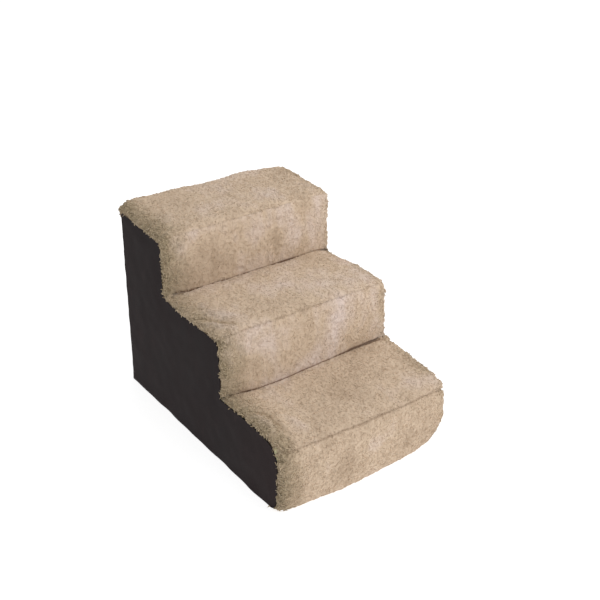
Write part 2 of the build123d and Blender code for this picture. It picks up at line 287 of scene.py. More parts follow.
# left and right: the side roll's width, how far it hangs over and how full it is there
# bow: how far the left edge swells out along its run, and where (under 1 towards the run's start)
panels = [
    {"name": "lower_riser_plush", "node": "lower_riser_panel", "seams": ("toe", "lowerNosing"),
     "left": (26, -1.5, 0.1), "right": (46, -1.5, 0.1), "rolls": (14, 14), "nap": 0.32,
     "bow": (5, 1.8), "brushed": 0.2,
     "puffs": [(-30, 20, 70, 3)],
     "patches": [(-60, 60, 24, -0.15), (-120, 60, 30, 0.1), (20, 90, 30, 0.12), (90, 50, 26, -0.2)]},
    {"name": "lower_tread_plush", "node": "lower_tread_panel", "seams": ("lowerNosing", "lowerCrease"),
     "left": (28, -2.4, 0.12), "right": (40, 0.5, 0.40), "rolls": (16, 23), "nap": 0.42,
     "bow": (11, 0.6),
     "puffs": [],
     "patches": [(20, 90, 60, -0.15), (-100, 30, 40, 0.12), (150, 20, 40, 0.4)],
     "folds": [((-196, 116), (-172, 100), (-156, 78), (-149, 44), (-152, 14), 5, -5.5),
               ((-196, 94), (-176, 78), (-169, 50), (-174, 14), 7, 3.2),
               ((-140, 84), (-120, 52), (-112, 20), 9, 2.0)]},
    {"name": "middle_riser_plush", "node": "middle_riser_panel", "seams": ("lowerCrease", "middleNosing"),
     "left": (26, -1.0, 0.15), "right": (40, -1.2, 0.15), "rolls": (24, 14), "nap": 0.56,
     "bow": (6.5, 0.6), "brushed": 0.2,
     "puffs": [],
     "patches": [(-110, 95, 28, 0.2), (-150, 50, 36, -0.3), (-40, 70, 50, -0.06), (60, 90, 40, 0.15)]},
    {"name": "middle_tread_plush", "node": "middle_tread_panel", "seams": ("middleNosing", "upperCrease"),
     "left": (28, 2.5, 0.22), "right": (46, -1.2, 0.05), "rolls": (18, 23), "nap": 0.54, "strip": 0.7,
     "bow": (-4, 1.5),
     "puffs": [], "patches": [(-20, 90, 50, 0.1), (130, 30, 40, 0.25)],
     "folds": [((-196, 84), (-174, 56), (-157, 28), (-136, 4), 5, -5.5),
               ((-198, 56), (-178, 36), (-164, 8), 7, 3.2),
               ((-160, 72), (-138, 44), (-112, 14), 9, 2.2)]},
    {"name": "upper_riser_plush", "node": "upper_riser_panel", "seams": ("upperCrease", "upperNosing"),
     "left": (26, 3.0, 0.2), "right": (42, -1.2, 0.12), "rolls": (24, 14), "nap": 0.55, "brushed": 0.2,
     "puffs": [],
     "patches": [(50, 70, 22, -0.5), (80, 60, 30, 0.25), (-125, 50, 50, -0.4), (-60, 60, 50, -0.1)]},
    {"name": "upper_tread_plush", "node": "upper_tread_panel", "seams": ("upperNosing", "topBack"),
     "left": (24, 1.5, 0.15), "right": (44, -1.2, 0.12), "rolls": (18, 12), "nap": 0.46, "bow": (-4, 0.5),
     "puffs": [(-166, 158, 48, 10), (-90, 162, 60, 6), (80, 162, 60, 6)],
     "patches": [(60, 100, 60, 0.1)]},
]


def resample(points, spacing, weights=None, count=None):
    scaled = points * np.array(weights) if weights else points
    along = np.concatenate(([0], np.cumsum(np.linalg.norm(np.diff(scaled, axis=0), axis=1))))
    number = count or max(2, int(round(along[-1] / spacing)) + 1)
    at = np.linspace(0, along[-1], number)
    return np.stack([np.interp(at, along, points[:, k]) for k in range(points.shape[1])], axis=1)


def widthProfile(panel, v, e):       # places across the width as (x, share), evenly spaced along the plush
    line = []
    half = stairs["halfWidth"]
    for side, (roll, overhang, share) in ((-1, panel["left"]), (1, panel["right"])):
        centre = half - roll
        lip = max(e["lipInset"], e["lipInset"] - overhang * e["lipPull"])
        turned = [(side * (half - lip), e["lipShare"])]
        for degrees in np.linspace(*e["rollDegrees"], 60):
            turn = math.radians(degrees)
            turned.append((side * (centre + (roll + overhang) * math.cos(turn)),
                           share + (v["rollShare"] - share) * math.sin(turn)))
        crown = [(side * centre * s, 1 - (1 - v["rollShare"]) * s * s) for s in np.linspace(1, 0, 40)[1:]]
        line = turned + crown if side < 0 else line + (turned + crown[:-1])[::-1]
    return resample(np.array(line), v["spacing"], (1, e["shareWeight"]))


def foamSwell(x, v):       # how far the foam inside stands out of the outline at x
    inside = np.clip((np.abs(x) - v["from"]) / v["width"], 0, 1)
    return v["height"] - v["drop"] * inside ** 2


def sagAt(name, x):
    if name not in creaseSags:
        return 0.0, 0.0
    places = np.array(creaseSags[name], float)
    return np.interp(x, places[:, 0], places[:, 1]), np.interp(x, places[:, 0], places[:, 2])


def crownAt(name, x, share):       # how high the tread's plush stands beside its crease at x
    return (fulls[name][1] - plushValues["crownSag"] * sagAt(name, x)[1]) * share


def swellAt(panel, run):       # how far the panel's left edge swells out at each share of its run
    size, skew = panel.get("bow", (0, 1))
    return size * np.sin(np.clip(run, 0, 1) ** skew * math.pi)


def seamPoint(name, x, share, v):       # where a seam lies in (y, z), and the way into the stairs from there
    y, z = corners[name]
    if name == "toe":
        return np.array((y + v["footDepth"], z)), np.array((0.0, 1.0))
    if name == "topBack":
        stand, wrap = v["backWrap"]
        return np.array((y + stand, z - wrap)), np.array((-1.0, 0.0))
    forward, up = seams[name]
    further, lower = sagAt(name, x)
    wander = v["seamWander"] * noise.noise(Vector((x / v["wanderSize"], y, z)))
    forward, up = forward + further + wander, up - lower + wander * (1 if "Crease" in name else -1)
    reach = math.hypot(forward, up)
    return np.array((y - forward * share, z + up * share)), np.array((forward, -up)) / reach


def roundAt(name, x):       # the corner's radius at x
    left, middle, right = cornerRounds[name]
    end = left if x < 0 else right
    start = roundSpread["fromCrease" if "Crease" in name else "fromNosing"]
    return middle + (end - middle) * float(smooth(abs(x), start, roundSpread["to"]))


def roundOff(name, x, places, forward, up):       # points past the corner's arc are drawn back onto it
    y, z = corners[name]
    radius = roundAt(name, x)
    bulge = 1 if "Nosing" in name else -1
    centre = np.array((y - forward + bulge * radius, z + up - bulge * radius))
    way = np.array((-bulge, bulge))
    off = (places - centre) * way
    far = np.linalg.norm(off, axis=1)
    past = (off > 0).all(axis=1) & (far > radius)
    return np.where(past[:, None], centre + off * (radius / np.maximum(far, 1e-6))[:, None] * way, places)


def rollLine(shoulder, seam, name, v):       # a panel's rounded end, from its shoulder to the seam
    full = math.radians(v["nosingTurn"] if "Nosing" in name else v["creaseTurn"])
    turn = np.linspace(0, full, 24)
    parts = ((np.sin(turn), math.sin(full)), (1 - np.cos(turn), 1 - math.cos(full)))
    return np.stack([a + (b - a) * part / whole
                     for a, b, (part, whole) in zip(shoulder, seam, parts)], axis=1)


def panelSection(panel, x, share, v, inner):       # the outer line at x from tuck to tuck, and the inner
    names = panel["seams"]
    start, end = np.array(corners[names[0]]), np.array(corners[names[1]])
    span = np.linalg.norm(end - start)
    way = (end - start) / span
    out = np.array((-way[1], way[0]))
    which = 0 if way[1] > 0.5 else 1
    ends, tucks = [], []
    for name, lap in zip(names, (-v["seamLap"], v["seamLap"])):       # neighbours overlap a little
        point, inwards = seamPoint(name, x, share, v)
        if name in cornerRounds:
            point = point + way * lap
        ends.append(((point - start) @ way, (point - start) @ out))
        depth = v["tuckDepth"] * max(share, v["leastTuckShare"]) if name in cornerRounds else v["footTuck"]
        tucks.append(point + inwards * depth)
    firstRoll, lastRoll = panel["rolls"]
    firstFull = (fulls[names[0]][which] + sagAt(names[0], x)[0] * v["crownSagForward"]) * share
    lastFull = crownAt(names[1], x, share) if "Crease" in names[1] else fulls[names[1]][which] * share
    (s1, n1), (s2, n2) = ends
    lines = []
    if names[0] == "toe":
        firstRoll += v["footRollGain"][int(x >= 0)] * float(smooth(abs(x), *v["footRollSpread"]))
        foot = firstFull - firstRoll
        lines.append(np.array([[0, n1], [0, foot]]))
        n1 = foot
    lines.append(rollLine((firstRoll, firstFull), (s1, n1), names[0], v)[::-1])
    run = np.linspace(0, 1, 20)[1:-1]
    rise = firstFull + (lastFull - firstFull) * run + v["crown"] * share * run * (1 - run)
    lines.append(np.stack((firstRoll + (span - lastRoll - firstRoll) * run, rise), axis=1))
    lines.append(rollLine((span - lastRoll, lastFull), (s2, n2), names[1], v))
    local = np.concatenate(lines)
    local[:, 1] += swellAt(panel, local[:, 0] / span) * float(smooth(-x, *v["bowSpread"]))
    outer = start + local[:, :1] * way + local[:, 1:] * out
    outer = np.concatenate((tucks[0][None], outer, tucks[1][None]))
    swell = foamSwell(x, foamSwellValues) + inner["foamGap"]
    inside = min(swell, firstFull - inner["thinnest"], lastFull - inner["thinnest"])
    low, high = (inner["fromNamed"].get(name, inner["fromSeam"]) for name in names)
    backLine = [(span - high, inside), (low, inside)]
    if names[0] == "toe":
        rollInside = firstFull - inner["toeDropShare"] * firstRoll - inner["toeGap"]
        backLine.append((inner["toeRunShare"] * firstRoll + inner["toeGap"],
                         min(inside - inner["toeRound"], rollInside)))
    back = np.array([start + s * way + n * out for s, n in backLine])
    for name in names:
        if name in cornerRounds:
            outer = roundOff(name, x, outer, fulls[name][0] * share, fulls[name][1] * share)
            back = roundOff(name, x, back, inside, inside)
    return outer, np.concatenate((outer[-1:], back, outer[:1]))


def foldDepth(x, along, folds):       # soft folds pressed in or raised along bent lines
    total = np.zeros_like(x)
    for *line, width, depth in folds:
        line = np.array(line, float)
        nearest, share = np.full(x.shape, 1e9), np.zeros_like(x)
        for k, (a, b) in enumerate(zip(line[:-1], line[1:])):
            step = b - a
            t = np.clip(((x - a[0]) * step[0] + (along - a[1]) * step[1]) / (step @ step), 0, 1)
            distance = np.hypot(x - a[0] - t * step[0], along - a[1] - t * step[1])
            closer = distance < nearest
            nearest = np.where(closer, distance, nearest)
            share = np.where(closer, (k + t) / (len(line) - 1), share)
        strength = np.sin(np.clip(share, 0.12, 1) * math.pi) ** 0.6       # full in its middle, weak at ends
        total += depth * np.exp(-(nearest / width) ** 2) * strength
    return total


def settled(point):       # where a point of the cover or the foam has sunk to
    x, y, z = point
    v = settleValues
    front = stairs["front"]
    side, low = max(x - v["sinkFrom"], 0) / v["sinkWidth"], max(v["height"] - z, 0) / v["height"]
    near = float(smooth(y, front + v["depth"][0], front + v["depth"][1])) * low * low
    recede = v["recede"] * float(smooth(x, *v["recedeSpread"])) * near
    sink = side * side * near
    level = 1 - float(smooth(abs(z - stairs["middleStep"] + v["dipBelow"]), *v["dipLevel"]))
    dip = v["dip"] * float(smooth(x, *v["dipAcross"])) * float(smooth(y, *v["dipAlong"])) * level
    rise = v["sinkUp"] * sink * float(smooth(z, 0, v["upFrom"]))
    return np.array((x - v["sinkIn"] * sink, y + v["sinkBack"] * sink + recede, z + rise - dip))


def pileHeight(point, edge, v, p):       # height of the curled pile, and how proud its curl stands, which sets the painted shade between the curls
    warp = noise.noise_vector(point / p["warpSize"]) * p["warp"]
    curl = 1 - min(noise.voronoi((point + warp) / v["curlSize"])[0][0] * p["curlGain"], 1)
    fluff = noise.noise(point / v["fluffSize"])
    strand = noise.noise((point + warp) / v["strandSize"])
    bold = edge * p["boldest"] + p["calmest"]
    height = bold * v["curlHeight"] * (curl - p["curlLevel"]) + v["strandHeight"] * strand
    height += v["fluffHeight"] * fluff
    return height, bold * curl + (1 - bold) * (p["calmLevel"] + p["calmGain"] * strand)


def finishPiece(name, bm, material, body, nodes=(), smoothFaces=True):
    bm.normal_update()
    bmesh.ops.recalc_face_normals(bm, faces=bm.faces)
    if bm.calc_volume(signed=True) < 0:
        bmesh.ops.reverse_faces(bm, faces=bm.faces)
    mesh = bpy.data.meshes.new(name)
    bm.to_mesh(mesh)
    bm.free()
    mesh.polygons.foreach_set("use_smooth", [smoothFaces] * len(mesh.polygons))
    mesh.materials.append(material)
    piece = bpy.data.objects.new(name, mesh)
    bpy.context.scene.collection.objects.link(piece)
    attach(piece, body)
    if nodes:
        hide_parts(*nodes)
    return piece


def seamShade(panel, places, columns, along, travel, v):       # a dark line in the creases, faint at nosings
    x = places[..., 0]
    shade = np.zeros(x.shape)
    shares = np.array([[share] for _, share in columns])
    tuck = v["tuckDepth"] * np.maximum(shares, v["leastTuckShare"])
    for name, gap in zip(panel["seams"], (travel, travel[:, -1:] - travel)):
        if name not in seamShades:
            continue
        depth, width, faded, low, high = seamShades[name]
        line = depth * (1 - smooth((gap - tuck) / np.maximum(shares, 0.3), width, faded))
        if "Crease" in name and name == panel["seams"][0]:       # a riser is dark to above the tread's crown
            crown = [[crownAt(name, first, share)] for first, (_, share) in zip(x[:, 0], columns)]
            line = depth * (1 - smooth(along - np.array(crown), *v["crownLine"]))
        line *= smooth(x, low, low + v["shadeFade"]) * (1 - smooth(x, high - v["shadeFade"], high))
        shade = np.maximum(shade, line)
    return shade


def gridPiece(panel, place, outerRows, marks):       # the grid at its places, with what its colours read
    across, rows = place.shape[0], place.shape[1] - 1
    bm = bmesh.new()
    bmesh.ops.create_grid(bm, x_segments=across - 1, y_segments=rows, size=1)
    layers = {name: bm.verts.layers.float.new(name) for name in marks}
    flat = place.transpose(1, 0, 2).reshape(-1, 3) * mm
    for index, vert in enumerate(bm.verts):
        j, i = divmod(index, across)
        vert.co = flat[index]
        if j < outerRows:
            for name, layer in layers.items():
                vert[layer] = float(marks[name][i, j])
        else:
            vert[layers["edge"]] = float(marks["edge"][i, outerRows // 2])
    ends = [vert for index, vert in enumerate(bm.verts) if index // across in (0, rows)]
    bmesh.ops.remove_doubles(bm, verts=ends, dist=1e-7)
    bmesh.ops.holes_fill(bm, edges=[e for e in bm.edges if e.is_boundary], sides=0)
    return finishPiece(panel["name"], bm, plush, "stairs", [panel["node"]])


def makePanel(panel, columns, v, n):       # a grid bent into a closed tube, then lumps, folds and pile
    middle = panelSection(panel, 0, 1, v, innerValues)[0]
    outerRows = int(round(np.linalg.norm(np.diff(middle, axis=0), axis=1).sum() / v["spacing"]))
    rows = outerRows + v["innerRows"]
    place = np.zeros((len(columns), rows + 1, 3))
    for i, (x, share) in enumerate(columns):
        outer, inner = panelSection(panel, x, share, v, innerValues)
        place[i, :outerRows, 1:] = resample(outer, 0, count=outerRows)
        place[i, outerRows:, 1:] = resample(inner, 0, count=v["innerRows"] + 2)[1:]
        place[i, :, 0] = x
    start, end = (np.array(corners[name]) for name in panel["seams"])
    span = np.linalg.norm(end - start)
    way = (end - start) / span
    outer = place[:, :outerRows]
    normal = np.cross(np.gradient(outer, axis=0), np.gradient(outer, axis=1))
    normal /= np.maximum(np.linalg.norm(normal, axis=2), 1e-9)[..., None]
    out = np.array((0, -way[1], way[0]))
    if normal[len(columns) // 2, outerRows // 2] @ out < 0:
        normal = -normal
    along = (outer[..., 1:] - start) @ way
    steps = np.linalg.norm(np.diff(outer[..., 1:], axis=1), axis=2)
    travel = np.concatenate((np.zeros((len(columns), 1)), np.cumsum(steps, axis=1)), axis=1)
    x = outer[..., 0]
    side = np.minimum(np.arange(len(columns)), np.arange(len(columns))[::-1])[:, None]
    row = np.minimum(np.arange(outerRows), np.arange(outerRows)[::-1])[None]
    free = np.ones(x.shape)       # the pile hangs less over the side at the toe and the back
    if panel["seams"][0] == "toe":
        free = smooth(along, *v["footFree"])
    if panel["seams"][1] == "topBack":
        free = smooth(span - along, *v["backFree"])
    over = np.maximum(np.abs(x) - stairs["halfWidth"] - v["overhangGap"], 0)
    x -= np.sign(x) * over * (1 - free)
    rimFrom, rimTo = (stairs["halfWidth"] - width for width in v["rimWidth"])
    rim = smooth(np.abs(x), rimFrom, rimTo) * np.sign(x) * free
    weight = smooth(side, 0, v["sideRows"]) * smooth(row, 0, v["seamRows"])
    folds = foldDepth(x, along, panel.get("folds", [])) * smooth(side, *v["foldRows"])
    puffs = sum((rise * np.exp(-((x - px) ** 2 + (along - ps) ** 2) / size ** 2)
                 for px, ps, size, rise in panel["puffs"]), np.zeros(x.shape))
    inwards = stairs["halfWidth"] - np.abs(x[:, outerRows // 2])
    pile, nap, edge = np.zeros(x.shape), np.zeros(x.shape), np.zeros(x.shape)
    (wide, wideSize), (fine, fineSize) = v["stripRagged"]
    for i in range(x.shape[0]):
        for j in range(x.shape[1]):
            point = Vector(outer[i, j])
            # edge: how far into the strip along the side seam, which gets coarser curls and painted shade
            gap = inwards[i] + wide * noise.noise(point / wideSize) + fine * noise.noise(point / fineSize)
            if x[i, j] < 0:
                edge[i, j] = max(1 - gap / v["stripWidth"], 0) ** 1.1 * panel.get("strip", 1)
            else:
                edge[i, j] = max(1 - gap / v["farStripWidth"], 0) * v["farStripShare"]
            height, pile[i, j] = pileHeight(point, edge[i, j], v, pileValues)
            lump = noise.noise(point / v["lumpSize"])
            lump += n["smallLumpShare"] * noise.noise(point / n["smallLumpSize"])
            streaks = Vector((point.x / n["streakWidth"], point.y / n["streakLength"],
                              point.z / n["streakLength"]))
            nap[i, j] = n["wide"] * noise.noise(point / n["wideSize"])
            nap[i, j] += n["narrow"] * noise.noise(point / n["narrowSize"])
            nap[i, j] += panel.get("brushed", n["plain"]) * noise.noise(streaks)
            reach = (height + v["lumpHeight"] * lump + folds[i, j]) * weight[i, j]
            lift = puffs[i, j] * weight[i, j]
            outer[i, j, 0] += v["rimWander"] * rim[i, j] * noise.noise(point / v["rimSize"])
            outer[i, j] = settled(outer[i, j] + normal[i, j] * reach + out * lift)
    # the panel's tone level, with painted shade in the folds' hollows and painted highlight on their ridges
    nap += panel["nap"] + folds * n["foldShadeAndHighlight"]
    # painted highlight towards the top of each riser, below its nosing
    low, high = n["topHighlightSpread"]
    nap += panel.get("brushed", 0) * n["topHighlightShare"] * smooth(along, span * low, span * high)
    for px, ps, radius, strength in panel["patches"]:
        nap += strength * np.exp(-((x - px) ** 2 + (along - ps) ** 2) / radius ** 2)
    shade = seamShade(panel, outer, columns, along, travel, v)
    shade = np.maximum(shade, v["rimShade"] * (1 - smooth(side, 0, v["sideRows"])))
    outer[..., 2] = np.maximum(outer[..., 2], v["floorGap"])
    for line in place[:, outerRows:rows]:
        line[:] = [settled(point) for point in line]
    place[:, rows] = place[:, 0]
    furry = (weight > n["furryWeight"]) & (outer[..., 2] > n["furryFrom"]) & (shade < n["furryShade"])
    marks = {"pile": pile, "nap": np.clip(nap, 0, 1), "edge": np.minimum(edge, 1), "seam": shade,
             "furry": furry}
    return gridPiece(panel, place, outerRows, marks)


tuftValues = {       # tufts to the square metre, then millimetres, degrees and sizes
    "density": 105000, "length": 3.5, "thick": 2.0, "tip": 1.2, "curl": 1.8, "sides": 3, "rings": 2,
    "lean": (73, 93), "sway": 25, "sizes": (0.55, 0.95), "sideGain": 0.85, "seed": 7,
    # rootTone and tipTone: painted shade at each tuft's root and painted light at its tip
    "rootTone": 0.4, "tipTone": 0.75,
}


def makeTuftNodes(v):       # a node group that sows short curled tufts over a panel and joins them to it
    group = bpy.data.node_groups.new("plushTufts", "GeometryNodeTree")
    for way in ("INPUT", "OUTPUT"):
        group.interface.new_socket("Geometry", in_out=way, socket_type="NodeSocketGeometry")

    def step(kind, *inputs, **settings):       # a node and its inputs in order, None left as it is
        made = group.nodes.new(kind)
        for name, value in settings.items():
            setattr(made, name, value)
        for socket, value in zip([s for s in made.inputs if s.enabled], inputs):
            if isinstance(value, bpy.types.NodeSocket):
                group.links.new(value, socket)
            elif value is not None:
                socket.default_value = value
        return [s for s in made.outputs if s.enabled]

    length, low, high = v["length"] * mm, *(math.radians(d) for d in v["lean"])
    sway, small, large = math.radians(v["sway"]), *v["sizes"]
    panelMesh = step("NodeGroupInput")[0]
    strand = step("GeometryNodeMeshCone", v["sides"], v["rings"], 1, v["tip"] / 2 * mm,
                  v["thick"] / 2 * mm, length, fill_type="NGON")[0]
    height = step("ShaderNodeSeparateXYZ", step("GeometryNodeInputPosition")[0])[2]
    square = step("ShaderNodeMath", height, height, operation="MULTIPLY")[0]
    bend = step("ShaderNodeMath", square, v["curl"] * mm / length ** 2, operation="MULTIPLY")[0]
    strand = step("GeometryNodeSetPosition", strand, None, None, step("ShaderNodeCombineXYZ", bend)[0])[0]
    # painted light along each tuft, lighter towards its tip, kept as its pile mark
    proud = step("ShaderNodeMath", height, v["tipTone"] / length, v["rootTone"], operation="MULTIPLY_ADD")[0]
    strand = step("GeometryNodeStoreNamedAttribute", strand, None, "pile", proud, data_type="FLOAT",
                  domain="POINT")[0]
    furry = step("GeometryNodeInputNamedAttribute", "furry", data_type="FLOAT")[0]
    sown = step("FunctionNodeCompare", furry, 0.5, data_type="FLOAT", operation="GREATER_THAN")[0]
    points, _, upright = step("GeometryNodeDistributePointsOnFaces", panelMesh, sown, v["density"],
                              v["seed"], distribute_method="RANDOM")
    lean = step("FunctionNodeRandomValue", (low, -sway, -math.pi), (high, sway, math.pi), None, 1,
                data_type="FLOAT_VECTOR")[0]
    turned = step("FunctionNodeRotateRotation", upright, lean, rotation_space="LOCAL")[0]
    edge = step("GeometryNodeInputNamedAttribute", "edge", data_type="FLOAT")[0]
    gain = step("ShaderNodeMath", edge, v["sideGain"], 1.0, operation="MULTIPLY_ADD")[0]
    size = step("FunctionNodeRandomValue", small, large, None, 2, data_type="FLOAT")[0]
    scale = step("ShaderNodeMath", size, gain, operation="MULTIPLY")[0]
    tufts = step("GeometryNodeInstanceOnPoints", points, None, strand, None, None, turned, scale)[0]
    joined = group.nodes.new("GeometryNodeJoinGeometry")
    group.links.new(step("GeometryNodeRealizeInstances", tufts)[0], joined.inputs[0])
    group.links.new(panelMesh, joined.inputs[0])
    step("NodeGroupOutput", joined.outputs[0])
    return group


def sowTufts(piece, group):       # grows the tufts on a finished panel and keeps them in its mesh
    panelFaces = len(piece.data.polygons)
    piece.modifiers.new("tufts", "NODES").node_group = group
    graph = bpy.context.evaluated_depsgraph_get()
    grown = piece.evaluated_get(graph)
    mesh = bpy.data.meshes.new_from_object(grown, preserve_all_data_layers=True, depsgraph=graph)
    piece.modifiers.clear()
    piece.data = mesh
    mesh.materials.clear()
    mesh.materials.append(plush)
    mesh.polygons.foreach_set("use_smooth", [k < panelFaces for k in range(len(mesh.polygons))])
    places = np.zeros(len(mesh.vertices) * 3, np.float32)       # no tuft reaches through the floor
    mesh.vertices.foreach_get("co", places)
    places[2::3] = np.maximum(places[2::3], plushValues["floorGap"] * mm)
    mesh.vertices.foreach_set("co", places)


noise.seed_set(pileValues["seed"])       # without it the warp of the curls is drawn from the clock
tuftNodes = makeTuftNodes(tuftValues)
for panel in panels:
    piece = makePanel(panel, widthProfile(panel, plushValues, edgeValues), plushValues, napValues)
    sowTufts(piece, tuftNodes)
    print("plush:", panel["name"], len(piece.data.polygons), "faces")

suedeColours = {
    "nap": (0.0122, 0.0090, 0.0096), "brushed": (0.0172, 0.0124, 0.0131),
    "worn": (0.0265, 0.0155, 0.0158),
}


def makeSuede(v):
    f = Finish("darkSuede", 0.86, sheen=0.06, sheenTint=(0.62, 0.50, 0.48), specular=0.12)
    cloud = f.noise(14, 3, 0.6)
    tone = f.mix(f.spread(cloud, 0.3, 0.75), v["nap"], v["brushed"])
    streaks = f.noise(60, 3, 0.7, 0.8, stretch=(1, 1, 0.35))
    tone = f.mix(f.spread(streaks, 0.55, 0.8, 0, 0.5), tone, v["worn"])
    grain = f.noise(1300, 2, 0.7)
    tone = f.mix(1.0, tone, f.spread(grain, 0.3, 0.7, 0.78, 1.22), "MULTIPLY")
    tone = f.mix(f.spread(f.along("Y"), -0.08, -0.27, 0, 0.4), tone, v["worn"])
    f.colour(tone)
    f.rough(f.spread(cloud, 0.3, 0.7, 0.80, 0.92))
    f.normal(f.bump(grain, 0.0003, 0.45, f.bump(f.noise(240, 3, 0.6), 0.0006, 0.3)))
    return f.material


suede = makeSuede(suedeColours)
sideValues = {
    "spacing": 3.2, "rows": 56, "toeRadius": 24, "puff": 1.6, "pucker": 0.5, "puckerSize": 11,
    "backWave": 2.6, "backWaveSize": 23, "backStand": 1.6, "backDrawn": 1.8, "backDrawnFrom": (290, 370),
    "backReach": 9, "wall": 1.5, "hem": 0.4, "hemFlare": 2.2, "flareSize": 52, "flareHeight": 14,
    "flareFrom": (15, 60), "puffSize": 70, "puffWidth": 60, "puckerWidth": 12, "ripple": 0.5,
    "rippleSize": 26, "farTuck": 1.2, "farTuckWidth": 14, "spreadShare": 1.35, "swellShare": 0.85,
    "swellWidth": 14, "insideGain": 1.4,
}


def roundedOutline(points, radii, spacing):       # the points joined by runs, with their corners rounded
    line = []
    for k, (point, radius) in enumerate(zip(points, radii)):
        point = np.array(point, float)
        if not radius or k in (0, len(points) - 1):
            line.append(point)
            continue
        before = np.array(points[k - 1], float) - point
        after = np.array(points[k + 1], float) - point
        before, after = before / np.linalg.norm(before), after / np.linalg.norm(after)
        centre = point + (before + after) * radius
        for turn in np.linspace(0, math.pi / 2, 12):
            line.append(centre - after * radius * math.cos(turn) - before * radius * math.sin(turn))
    return resample(np.array(line), spacing)


def sideTop(sign, v):       # the side's upper edge, toe to back, swelling out with the left panels
    names = ("lowerNosing", "lowerCrease", "middleNosing", "upperCrease", "upperNosing")
    radii = [roundAt(corner, sign * stairs["halfWidth"]) for corner in names]
    top = roundedOutline([(corners["toe"][0], v["hem"]), *(corners[corner] for corner in names),
                          corners["topBack"]], [0, *radii, 0], v["spacing"])
    for panel in panels if sign < 0 else []:
        start, end = (np.array(corners[corner]) for corner in panel["seams"])
        span = np.linalg.norm(end - start)
        way = (end - start) / span
        out = np.array((-way[1], way[0]))
        run, off = (top - start) @ way / span, (top - start) @ out
        near = 1 - smooth(np.abs(off), 0, v["swellWidth"])
        swell = v["swellShare"] * np.maximum(swellAt(panel, run), 0) * near
        top = top + swell[:, None] * out
    return top


def roundToe(y, z, v):       # the side's front bottom corner is round
    toe, low = v["toeRadius"], v["hem"]
    off = Vector((y - stairs["front"] - toe, z - low - toe))
    if max(off) < 0 and off.length > toe:
        off *= toe / off.length
        y, z = stairs["front"] + toe + off.x, low + toe + off.y
    return y, z


def addWall(piece, thickness):       # the cloth's thickness, inwards
    wall = piece.modifiers.new("clothThickness", "SOLIDIFY")
    wall.thickness, wall.offset = thickness * mm, -1


def makeSide(name, node, sign, v):       # rulings run down and back from the seam to the hem or back edge
    top = sideTop(sign, v)
    low, back = v["hem"], stairs["back"]
    rows = v["rows"]
    bm = bmesh.new()
    bmesh.ops.create_grid(bm, x_segments=len(top) - 1, y_segments=rows, size=1)
    for index, vert in enumerate(bm.verts):
        j, i = divmod(index, len(top))
        y, z = top[i]
        reach = min(z - low, back - y)
        share = (j / rows) ** v["spreadShare"]
        y, z = y + reach * share, z - reach * share
        frontGap = y - stairs["front"]
        y, z = roundToe(y, z, v)
        inside = reach * share * v["insideGain"]
        edgeGap = min(inside, (z - low) + 4, (back - y) + 2)
        uneven = 0.7 + 0.5 * noise.noise(Vector((y, z, 3)) / v["puffSize"])
        puff = v["puff"] * float(smooth(edgeGap, 0, v["puffWidth"])) * uneven
        flare = v["hemFlare"] * (0.5 + noise.noise(Vector((y / v["flareSize"], sign * 3, 0))))
        flare *= math.exp(-(z - low) / v["flareHeight"])
        puff += flare * float(smooth(inside, 0, 20)) * float(smooth(frontGap, *v["flareFrom"]))
        pucker = v["pucker"] * math.exp(-inside / v["puckerWidth"])
        pucker *= noise.noise(Vector((y, z, sign * 40)) / v["puckerSize"])
        ripple = v["ripple"] * noise.noise(Vector((y, z, sign * 9)) / v["rippleSize"])
        ripple *= float(smooth(edgeGap, 0, 25))
        nearBack = math.exp(-(back - y) / v["backReach"])
        stand = v["backStand"] * (1 - v["backDrawn"] * float(smooth(z, *v["backDrawnFrom"])))
        wave = v["backWave"] * noise.noise(Vector((z / v["backWaveSize"], sign * 5, 0)))
        tucked = v["farTuck"] * math.exp(-inside / v["farTuckWidth"]) if sign > 0 else 0
        x = sign * (stairs["halfWidth"] + puff + pucker + ripple - tucked)
        vert.co = Vector(settled((x, y + nearBack * (stand + wave), z))) * mm
    bmesh.ops.remove_doubles(bm, verts=bm.verts, dist=2e-5)
    piece = finishPiece(name, bm, suede, "stairs", [node])
    if sum(p.normal.x * p.area for p in piece.data.polygons) * sign < 0:
        piece.data.flip_normals()
    addWall(piece, v["wall"])
    return piece


for side, sign in (("left_side", -1), ("right_side", 1)):
    makeSide(side + "_suede", side + "_panel", sign, sideValues)
print("suede: both sides made")

backValues = {
    "columns": 150, "rows": 120, "hemRows": 22, "thickness": 1.5, "zipHeight": 48, "slotHalf": 5.5,
    "slotHalfLength": 162, "slotRound": 2.75, "puff": 2.6, "puffSize": 80, "puffWidth": 70,
    "zipGap": 9, "ripple": 0.5, "rippleSize": 24, "rollWidth": 2, "topWrap": 11,
    "slotSteps": (-0.01, 0.01, 0.4, 1.0, 1.8, 2.75),
}


def slotEdge(x, v):       # half the height of the zip's slot at x, with its rounded ends
    inwards = v["slotHalfLength"] - abs(x)
    if inwards <= 0:
        return 0.0
    r = v["slotRound"]
    corner = r - math.sqrt(max(r * r - max(r - inwards, 0) ** 2, 0))
    return max(v["slotHalf"] - corner, 0.0)


